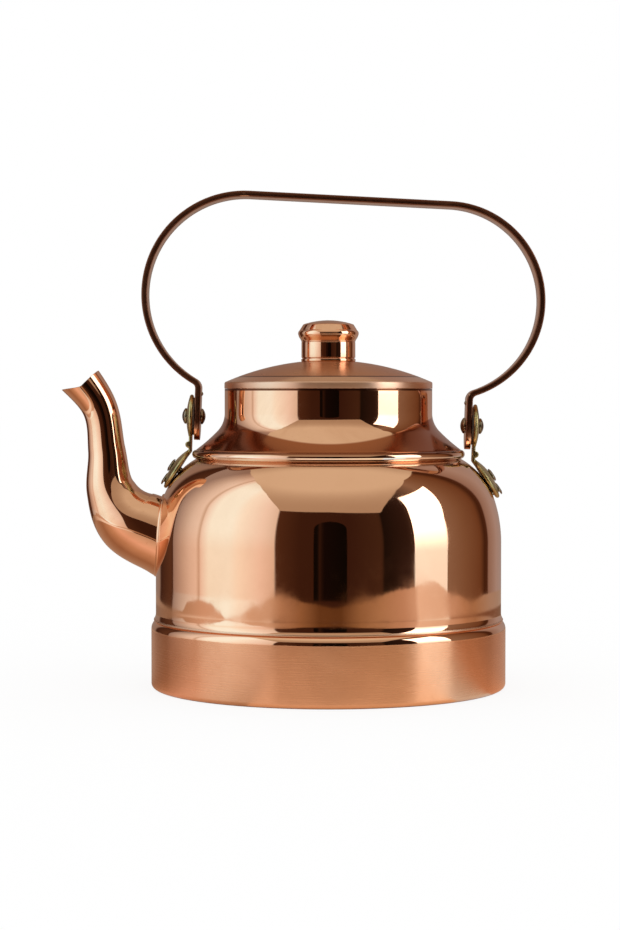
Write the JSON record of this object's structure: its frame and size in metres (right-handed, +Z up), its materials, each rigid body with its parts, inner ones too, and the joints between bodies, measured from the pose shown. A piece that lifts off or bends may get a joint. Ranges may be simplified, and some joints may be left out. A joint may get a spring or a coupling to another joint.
{
  "type": "stovetop kettle",
  "caption": "Round copper stovetop kettle with a swan-neck spout, a lift-off lid with a turned knob, and a strap bail that swings in two cast ears.",
  "frame": {"origin": "on the body's axis, at the underside of the base pan", "axes": "+Z up along the body's axis, the spout points along -X, the bail stands in the XZ plane"},
  "size_m": [0.2448, 0.18, 0.251],
  "materials": {
    "copper": "mirror-polished copper",
    "satin_copper": "satin-brushed copper, turned",
    "lid_copper": "soft-polished copper, spun",
    "strap_copper": "browned copper strap with brighter faces",
    "aged_brass": "cast brass with an olive patina",
    "dark_rivet": "dark bronze, worn bright on the crowns",
    "dark_leather": "dark waxed leather",
    "steel": "plain steel"
  },
  "bodies": {
    "kettle": {"base_pan": "satin_copper", "body_shell": "copper", "neck_collar": "copper", "shoulder_bead": "copper", "spout": "copper", "spout_seam_ring": "copper", "ear_left": "aged_brass", "ear_right": "aged_brass", "shoulder_rivets_left": "dark_rivet", "shoulder_rivets_right": "dark_rivet", "pivot_rivet_left": "dark_rivet", "pivot_rivet_right": "dark_rivet", "pivot_washer_left": "dark_leather", "pivot_washer_right": "dark_leather"},
    "bail": {"bail_strap": "strap_copper", "bail_stud_left": "dark_rivet", "bail_stud_right": "dark_rivet"},
    "lid": {"lid_cover": "lid_copper", "lid_skirt": "copper", "knob_ferrule": "copper", "knob_barrel": "copper", "knob_cap": "copper", "knob_stud": "steel", "knob_washer": "steel", "knob_nut": "steel"}
  },
  "joints": [
    {"name": "bail_swing", "type": "hinge", "parent": "kettle", "child": "bail", "pos_m": [0.0023, 0, 0.13495], "axis": [0.9994, 0, -0.0349], "range_deg": [-115, 115]},
    {"name": "lid_lift", "type": "slide", "parent": "kettle", "child": "lid", "axis": [0, 0, 1], "range_m": [0, 0.05]}
  ]
}
